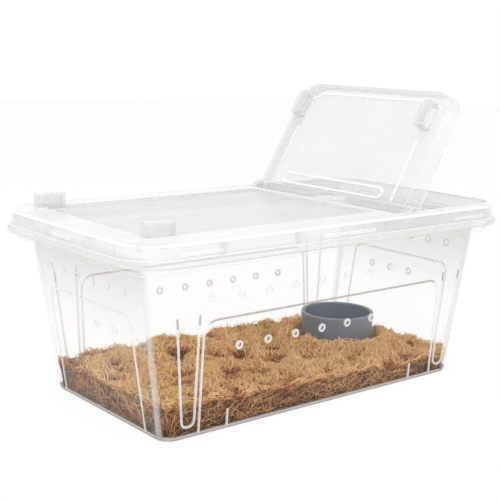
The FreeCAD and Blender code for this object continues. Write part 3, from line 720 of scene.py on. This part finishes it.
def against_wall(count, points, shortest, longest, bend, inward):
    """Fibres that lie in the plane of the walls, in every direction, from the floor up to the humps."""
    along = np.linspace(0, 1, points)
    half_x, half_y = bed_half
    perimeter = 4 * (half_x + half_y)
    walk = bed_seed.uniform(0, perimeter, count)
    length = bed_seed.uniform(shortest, longest, count)
    heading = bed_seed.uniform(0, whole_turn, count)
    way = heading[:, None] + bed_seed.normal(0, bend, count)[:, None] * along[None, :]
    step = (length / (points - 1))[:, None]
    go_along = (walk[:, None] + (np.cos(way) * step).cumsum(1)) % perimeter
    go_up = (np.sin(way) * step).cumsum(1)
    sides = [go_along < 2 * half_x, go_along < 2 * (half_x + half_y), go_along < 4 * half_x + 2 * half_y]
    past_end = go_along - 2 * half_x
    past_back = past_end - 2 * half_y
    past_left = past_back - 2 * half_x
    full = np.ones_like(go_along)
    out_x = np.select(sides, [go_along - half_x, full * half_x, half_x - past_back], -full * half_x)
    out_y = np.select(sides, [-full * half_y, past_end - half_y, full * half_y], half_y - past_left)
    out_x = out_x * wall_overreach
    out_y = out_y * wall_overreach
    wall_x, wall_y = inside_wall(out_x[:, 0], out_y[:, 0], np.full(count, bed_level))
    top = bed_height(wall_x, wall_y)
    start_z = wall_foot + bed_seed.random(count) * (top - wall_foot)
    line_z = np.maximum(start_z[:, None] + go_up, wall_foot)
    line_x, line_y = inside_wall(out_x, out_y, line_z)
    over = (line_z - bed_height(line_x, line_y)).max(1) - bed_seed.uniform(0.0, wall_top_drop, count)
    line_z = np.maximum(line_z - np.maximum(over, 0)[:, None], wall_foot)
    back = bed_seed.uniform(0.0, inward, count)[:, None] + wall_bow * np.sin(math.pi * along)[None, :]
    line_x, line_y = inside_wall(out_x, out_y, line_z, back)
    return np.stack([line_x, line_y, line_z], 2)


# Fibres along the walls: a close felt, with some longer pale strands pressed against the plastic,
# a little darker low down, a painted shade.
side_coir = coir(
    "coir_side_fibre",
    dark=(0.060, 0.021, 0.007, 1),
    middle=(0.44, 0.180, 0.062, 1),
    light=(0.95, 0.52, 0.22, 1),
    low=0.002,
    high=0.022,
    painted_light_share=0.16,
)
lines = against_wall(count=9500, points=4, shortest=0.004, longest=0.012, bend=1.4, inward=0.0024)
tangle(
    "coir_side_fibres",
    lines,
    shade_mean=0.45,
    shade_spread=0.30,
    thinnest=0.00020,
    thickest=0.00034,
    material=side_coir,
)
lines = against_wall(count=420, points=7, shortest=0.010, longest=0.026, bend=0.5, inward=0.0004)
tangle(
    "coir_side_strands",
    lines,
    shade_mean=0.85,
    shade_spread=0.12,
    thinnest=0.00018,
    thickest=0.00028,
    material=side_coir,
)

# Feeding dish: a small round bowl in dark grey plastic, satin from a finely etched mould, with a
# pale highlight painted along its rim and edges. It stands loose in a hollow of the bedding.
dish_grey = (0.170, 0.192, 0.228, 1)
dish_pale = (0.205, 0.232, 0.275, 1)
# Colour, width and range of the painted highlight along the rim and edges
dish_rim_painted_highlight = (0.36, 0.38, 0.41, 1)
dish_rim_width = 0.0010
dish_rim_highlight_range = (0.05, 0.60)
dish_etch_grain = 1400
dish_etch_depth = 0.0002
dish_scuff_grain = 45
dish_scuffed = (0.35, 0.70)
dish_satin_range = (0.32, 0.50)
dish_satin = bpy.data.materials.new("dark_satin_plastic")
dish_satin.use_nodes = True
dish_tree = dish_satin.node_tree
dish_body = dish_tree.nodes["Principled BSDF"]
dish_body.inputs["IOR"].default_value = 1.5
dish_place = dish_tree.nodes.new("ShaderNodeTexCoord").outputs["Object"]
etching = noise(dish_tree, dish_place, dish_etch_grain, 3)
scuffs = spread_between(dish_tree, noise(dish_tree, dish_place, dish_scuff_grain, 6), *dish_scuffed)
dish_colour = tint_by(dish_tree, scuffs, dish_grey, dish_pale)
# A pale highlight painted along the rim and the other edges
painted_rim_highlight = spread_between(dish_tree, edge_share(dish_tree, dish_rim_width), *dish_rim_highlight_range)
dish_colour = tint_by(dish_tree, painted_rim_highlight, dish_colour, dish_rim_painted_highlight)
dish_tree.links.new(dish_colour, dish_body.inputs["Base Color"])
dish_gloss = spread_between(dish_tree, etching, *noise_range, *dish_satin_range)
dish_tree.links.new(dish_gloss, dish_body.inputs["Roughness"])
dish_bump = dish_tree.nodes.new("ShaderNodeBump")
dish_bump.inputs["Strength"].default_value = 0.25
dish_bump.inputs["Distance"].default_value = dish_etch_depth
dish_tree.links.new(etching, dish_bump.inputs["Height"])
dish_tree.links.new(dish_bump.outputs["Normal"], dish_body.inputs["Normal"])
finish_node("feeding_dish", dish_satin)

# Lid: a second clear moulding that drops over the tub's rim, with a skirt, a proud lip, a sunk
# window and a well for the hatch. Its frame is frosted by the mould and its window is polished; a dark
# line is painted along the window's step and a white highlight along the rounded shoulder.
lid_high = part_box("lid")[1]
window_left = -0.1350
window_right = 0.0425
window_half = 0.0640
window_step = 0.0010
lid_post_height = 0.0090
lid_post_frost = 0.6
lid_frame_top = float(lid_high[2]) - lid_post_height
lid_shoulder = (0.0027, 0.0009)
lid_skirt_reach = 0.0080


def around_window(tree, place):
    """All of the lid but its polished window."""
    x = axis_of(tree, place, "X")
    y = maths(tree, "ABSOLUTE", axis_of(tree, place, "Y"), 0.0)
    past_left = spread_between(tree, x, window_left, window_left - window_step)
    past_right = spread_between(tree, x, window_right, window_right + window_step)
    past_side = spread_between(tree, y, window_half, window_half + window_step)
    return maths(tree, "MAXIMUM", maths(tree, "MAXIMUM", past_left, past_right), past_side)


def frame_of_lid(tree, place):
    """The frame around the window, and less of its frost on the posts."""
    height = axis_of(tree, place, "Z")
    post_foot = lid_frame_top + window_step
    below_posts = spread_between(tree, height, post_foot, lid_frame_top, lid_post_frost, 1.0)
    return maths(tree, "MULTIPLY", around_window(tree, place), below_posts)


def step_of_window(tree, place):
    """The thin step between the frame and its sunk window, where a dark line is painted."""
    past = around_window(tree, place)
    begun = spread_between(tree, past, 0.0, 0.4)
    not_over = spread_between(tree, past, 1.0, 0.6)
    height = axis_of(tree, place, "Z")
    below_posts = spread_between(tree, height, lid_frame_top + window_step, lid_frame_top)
    return maths(tree, "MULTIPLY", maths(tree, "MULTIPLY", begun, not_over), below_posts)


def painted_shoulder_highlight(tree, place):
    """The rounded shoulder between the frame's top and its skirt, where a white highlight is painted."""
    height = axis_of(tree, place, "Z")
    low, high = (lid_frame_top - drop for drop in lid_shoulder)
    over_low = spread_between(tree, height, low, low + window_step)
    under_high = spread_between(tree, height, high + window_step, high)
    outer = []
    for axis, far in zip("XY", lid_high):
        away = maths(tree, "ABSOLUTE", axis_of(tree, place, axis), 0.0)
        skirt = float(far) - lid_skirt_reach
        outer.append(spread_between(tree, away, skirt, float(far) - lid_skirt_reach / 2))
    band = maths(tree, "MULTIPLY", over_low, under_high)
    return maths(tree, "MULTIPLY", band, maths(tree, "MAXIMUM", *outer))


lid_look = {
    "tint": (0.990, 0.990, 0.990, 1),
    "milk": (0.715, 0.72, 0.72, 1),
    "face_haze": 0.10,
    "grazing_haze_and_reflection": 1.10,
    "frost_milk": (0.835, 0.845, 0.85, 1),
    "frost_haze": 0.21,
    "edge_highlight_cover": 0.95,
    "edge_grey_cover": 0.30,
    "edge_width": 0.0014,
    "painted_shade_colour": (0.46, 0.455, 0.45, 1),
    "painted_shade_cover": 0.60,
    "roughness": 0.20,
}
lid_plastic = clear_moulding(
    "clear_lid_plastic", lid_look, frame_of_lid, step_of_window, painted_shoulder_highlight
)
finish_node("lid", lid_plastic)

# Hatch: a shallow clear tray whose stub pins snap into the lid's cheeks. It stands part open,
# held by the tight fit of its pins, and the raised ribs on its plate are frosted.
part_joints = {joint["name"]: joint for joint in frame["record"]["behaviour"]["joints"]}
hatch_hinge = part_joints["hatch_hinge"]["pos_m"]
hatch_angle = math.radians(59.0)
hatch_plate = 0.0036
hatch_rib = 0.0008
rib_foot = (0.25 * hatch_rib, 0.75 * hatch_rib)
rib_top = (1.75 * hatch_rib, 1.25 * hatch_rib)


def ribs_of_hatch(tree, place):
    """Loop, side ribs and bracket, which stand out from the plate less than the posts do."""
    normal = (-math.sin(hatch_angle), 0, math.cos(hatch_angle))
    offset = normal[0] * hatch_hinge[0] + normal[2] * hatch_hinge[2] + hatch_plate
    proud = height_over(tree, place, [(normal, offset)])
    rib = spread_between(tree, proud, *rib_foot)
    below_post = spread_between(tree, proud, *rib_top)
    return maths(tree, "MULTIPLY", rib, below_post)


hatch_look = {
    "tint": (0.990, 0.990, 0.990, 1),
    "milk": (0.76, 0.765, 0.77, 1),
    "face_haze": 0.22,
    "grazing_haze_and_reflection": 0.75,
    "frost_milk": (0.98, 0.98, 0.98, 1),
    "frost_haze": 0.70,
    "edge_highlight_cover": 0.92,
    "edge_grey_cover": 0.12,
    "edge_width": 0.0014,
    "roughness": 0.20,
}
hatch_plastic = clear_moulding("clear_hatch_plastic", hatch_look, ribs_of_hatch)
finish_node("hatch", hatch_plastic)

# Stage: a plain white floor that runs out of sight and keeps a soft shadow under the box,
# with a plain white room around it.
floor_size = 3.0
floor_mesh = bpy.data.meshes.new("studio_floor")
floor_mesh.from_pydata(
    [
        (-floor_size, -floor_size, 0),
        (floor_size, -floor_size, 0),
        (floor_size, floor_size, 0),
        (-floor_size, floor_size, 0),
    ],
    [],
    [(0, 1, 2, 3)],
)
studio_floor = bpy.data.objects.new("studio_floor", floor_mesh)
bpy.context.scene.collection.objects.link(studio_floor)
floor_white_share = 0.88


def looked_at(tree):
    """One for a look at the white itself, in a gloss or through clear plastic, none for its light."""
    rays = tree.nodes.new("ShaderNodeLightPath")
    seen = maths(tree, "MAXIMUM", rays.outputs["Is Camera Ray"], rays.outputs["Is Glossy Ray"])
    return maths(tree, "MAXIMUM", seen, rays.outputs["Is Transmission Ray"])


white_floor = bpy.data.materials.new("white_floor")
white_floor.use_nodes = True
floor_tree = white_floor.node_tree
floor_paint = floor_tree.nodes["Principled BSDF"]
floor_paint.inputs["Base Color"].default_value = (0.93, 0.93, 0.93, 1)
floor_paint.inputs["Roughness"].default_value = 0.9
floor_paint.inputs["Specular IOR Level"].default_value = 0.1
floor_white = floor_tree.nodes.new("ShaderNodeEmission")
floor_white.inputs["Strength"].default_value = 1.02
floor_share = maths(floor_tree, "MULTIPLY", looked_at(floor_tree), floor_white_share)
floor_parts = (floor_paint.outputs["BSDF"], floor_white.outputs["Emission"])
floor_surface = mix_of(floor_tree, floor_share, *floor_parts)
floor_tree.links.new(floor_surface, floor_tree.nodes["Material Output"].inputs["Surface"])
floor_mesh.materials.append(white_floor)

room = bpy.data.worlds.new("white_room")
bpy.context.scene.world = room
room.use_nodes = True
room_tree = room.node_tree
room_light = room_tree.nodes["Background"]
room_light.inputs["Color"].default_value = (1.0, 1.0, 1.0, 1)
room_light.inputs["Strength"].default_value = 0.68
room_white = room_tree.nodes.new("ShaderNodeBackground")
room_white.inputs["Color"].default_value = (1.0, 1.0, 1.0, 1)
room_white.inputs["Strength"].default_value = 1.0
room_parts = (room_light.outputs["Background"], room_white.outputs["Background"])
room_surface = mix_of(room_tree, looked_at(room_tree), *room_parts)
room_tree.links.new(room_surface, room_tree.nodes["World Output"].inputs["Surface"])


def soft_box(name, place, aim, size, power):
    """A square studio lamp at a place, turned to what it lights."""
    lamp = bpy.data.lights.new(name, "AREA")
    lamp.shape = "RECTANGLE"
    lamp.size = size[0]
    lamp.size_y = size[1]
    lamp.energy = power
    fixture = bpy.data.objects.new(name, lamp)
    fixture.location = place
    fixture.rotation_euler = (Vector(aim) - Vector(place)).to_track_quat("-Z", "Y").to_euler()
    bpy.context.scene.collection.objects.link(fixture)


soft_box("overhead_soft_box", (-0.25, -0.15, 1.5), (0, 0, 0.05), (1.2, 1.0), 6.6)
soft_box("left_soft_box", (-1.4, -0.7, 0.9), (0, 0, 0.06), (0.9, 0.9), 9)
soft_box("front_soft_box", (0.7, -1.6, 0.7), (0, 0, 0.06), (0.9, 0.9), 6.5)

# Camera: a long lens at the photograph's viewing angle, a little above the box and off its
# left front corner, for a square picture.
view_place = (-0.45722, -0.55210, 0.23536)
view_yaw = math.radians(39.1867)
view_pitch = math.radians(11.221)
view_roll = math.radians(1.3206)
view_way = Vector(
    (
        math.sin(view_yaw) * math.cos(view_pitch),
        math.cos(view_yaw) * math.cos(view_pitch),
        -math.sin(view_pitch),
    )
)
level_right = Vector((math.cos(view_yaw), -math.sin(view_yaw), 0))
level_up = level_right.cross(view_way)
right = math.cos(view_roll) * level_right + math.sin(view_roll) * level_up
up = -math.sin(view_roll) * level_right + math.cos(view_roll) * level_up
lens = bpy.data.cameras.new("photo_camera")
lens.sensor_width = 36
lens.lens = 75.665
lens.shift_x = -0.0093
lens.shift_y = -0.0007
lens.clip_start = 0.01
photo_camera = bpy.data.objects.new("photo_camera", lens)
turned = Matrix((right, up, -view_way)).transposed().to_4x4()
photo_camera.matrix_world = Matrix.Translation(view_place) @ turned
bpy.context.scene.collection.objects.link(photo_camera)
bpy.context.scene.camera = photo_camera
bpy.context.scene.view_settings.view_transform = "Standard"
bpy.context.scene.cycles.transparent_max_bounces = 64
